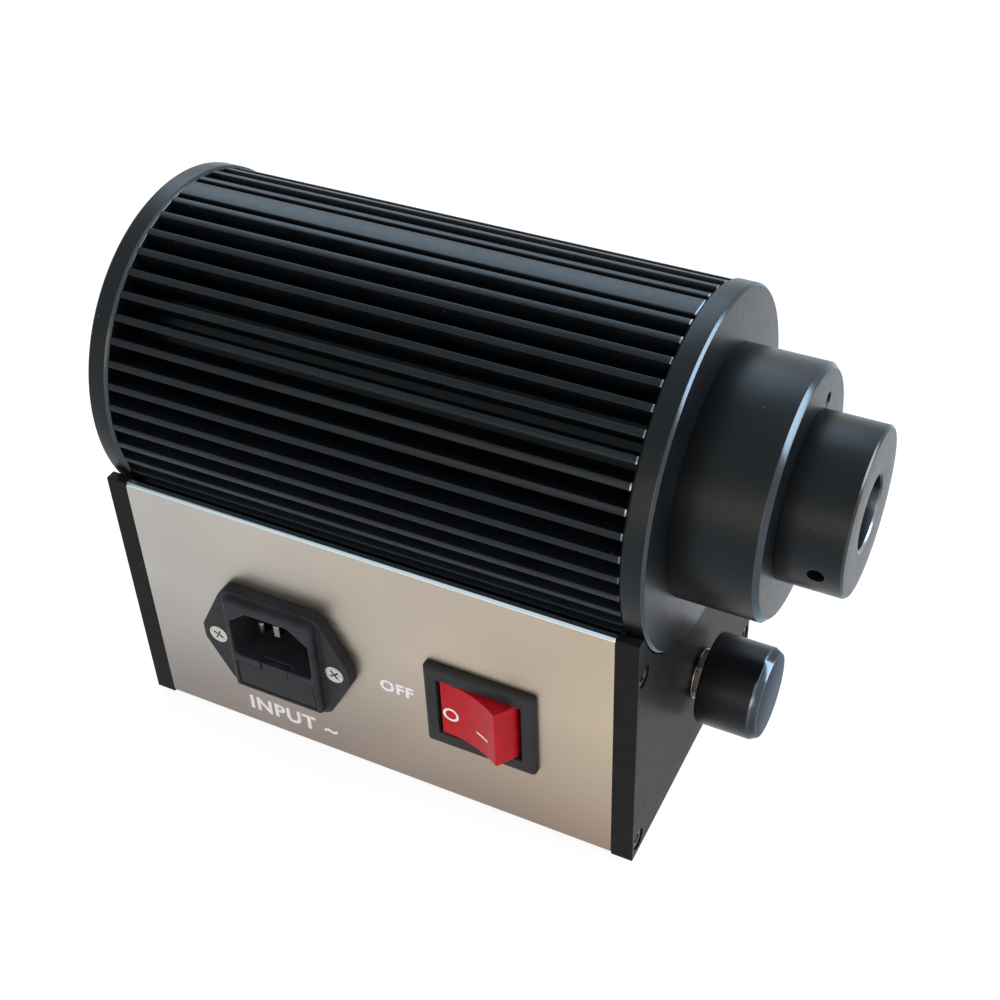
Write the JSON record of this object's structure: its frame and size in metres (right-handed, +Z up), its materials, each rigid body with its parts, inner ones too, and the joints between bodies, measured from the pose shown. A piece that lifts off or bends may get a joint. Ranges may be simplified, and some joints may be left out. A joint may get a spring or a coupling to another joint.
{
  "type": "fiber optic illuminator",
  "caption": "Bench light source for a fibre light guide: finned tube on a low box with a mains inlet, fuse drawer, rocker switch and dimmer knob; the guide plugs into a bore in front.",
  "frame": {"origin": "middle of the base, at the level that the rubber feet stand on, between the two side panels", "axes": "+X the way the light leaves the port, +Z up, -Y the side with the inlet and the switch"},
  "size_m": [0.1863, 0.0954, 0.1437],
  "materials": {
    "black_anodised": "black anodised, satin",
    "black_fins": "black anodised, satin",
    "silver_panel": "brushed, silver",
    "black_oxide": "black oxide",
    "bright_steel": "zinc plated",
    "nickel": "nickel plated",
    "brass": "bare",
    "steel_sheet": "zinc plated sheet",
    "black_plastic": "moulded, fine grain",
    "red_plastic": "moulded, gloss",
    "rubber": "matt",
    "glass": "coated lens",
    "fuse_glass": "clear with metal caps",
    "bare_aluminium": "turned",
    "board_green": "solder mask",
    "board_white": "white solder mask on aluminium",
    "phosphor": "silicone over phosphor",
    "ferrite": "ferrite, matt",
    "tape_yellow": "polyester tape",
    "sleeve_black": "shrink sleeve",
    "film_yellow": "moulded box",
    "epoxy_black": "moulded epoxy",
    "copper_green": "enamelled copper",
    "terminal_green": "moulded",
    "wire_red": "insulation",
    "wire_brown": "insulation",
    "wire_earth": "insulation",
    "wire_grey": "insulation"
  },
  "bodies": {
    "housing": {"base_channel": "silver_panel", "front_plate": "black_anodised", "rear_plate": "black_anodised", "front_plate_screws": "black_oxide", "rear_plate_screws": "black_oxide", "rubber_feet": "rubber", "front_saddle": "steel_sheet", "rear_saddle": "steel_sheet", "saddle_floor_screws": "bright_steel", "saddle_tube_screws": "bright_steel", "heat_sink": "black_fins", "front_disc": "black_anodised", "rear_disc": "black_anodised", "front_disc_screws": "black_oxide", "rear_disc_screws": "black_oxide", "nose_barrel": "black_anodised", "fibre_adapter": "black_anodised", "lens_ring": "black_anodised", "condenser_lens": "glass", "led_carrier": "bare_aluminium", "led_board": "board_white", "led_emitter": "phosphor", "led_screws": "bright_steel", "inlet_body": "black_plastic", "inlet_pins": "nickel", "inlet_screws": "nickel", "inlet_nuts": "bright_steel", "switch_body": "black_plastic", "switch_terminals": "brass", "dimmer_body": "bright_steel", "dimmer_bush": "nickel", "dimmer_washer": "nickel", "dimmer_nut": "nickel", "dimmer_terminals": "brass", "driver_board": "board_green", "board_standoffs": "brass", "board_screws": "bright_steel", "transformer_core": "ferrite", "transformer_winding": "tape_yellow", "bulk_capacitor": "sleeve_black", "output_capacitors": "sleeve_black", "filter_choke": "copper_green", "filter_capacitor": "film_yellow", "bridge_rectifier": "epoxy_black", "switching_transistor": "epoxy_black", "transistor_cooler": "bare_aluminium", "mains_terminal": "terminal_green", "output_terminal": "terminal_green", "led_leads": "wire_red", "mains_leads": "wire_brown", "earth_lead": "wire_earth", "dimmer_leads": "wire_grey"},
    "rocker": {"rocker": "red_plastic"},
    "dimmer": {"dimmer_knob": "black_anodised", "dimmer_shaft": "bare_aluminium", "knob_grub_screw": "black_oxide"},
    "fuse_tray": {"fuse_drawer": "black_plastic", "fuse": "fuse_glass"},
    "clamp": {"clamp_screw": "black_oxide"}
  },
  "joints": [
    {"name": "rocker_tip", "type": "hinge", "parent": "housing", "child": "rocker", "pos_m": [0.03275, -0.0404, 0.0382], "axis": [0, 0, 1], "range_deg": [0, 30]},
    {"name": "dimmer_turn", "type": "hinge", "parent": "housing", "child": "dimmer", "pos_m": [0, 0, 0.0297], "axis": [1, 0, 0], "range_deg": [-300, 0]},
    {"name": "fuse_drawer_pull", "type": "slide", "parent": "housing", "child": "fuse_tray", "axis": [0, -1, 0], "range_m": [0, 0.016]},
    {"name": "clamp_advance", "type": "slide", "parent": "housing", "child": "clamp", "axis": [0, 0.9703, 0.2419], "range_m": [0, 0.0025]}
  ]
}
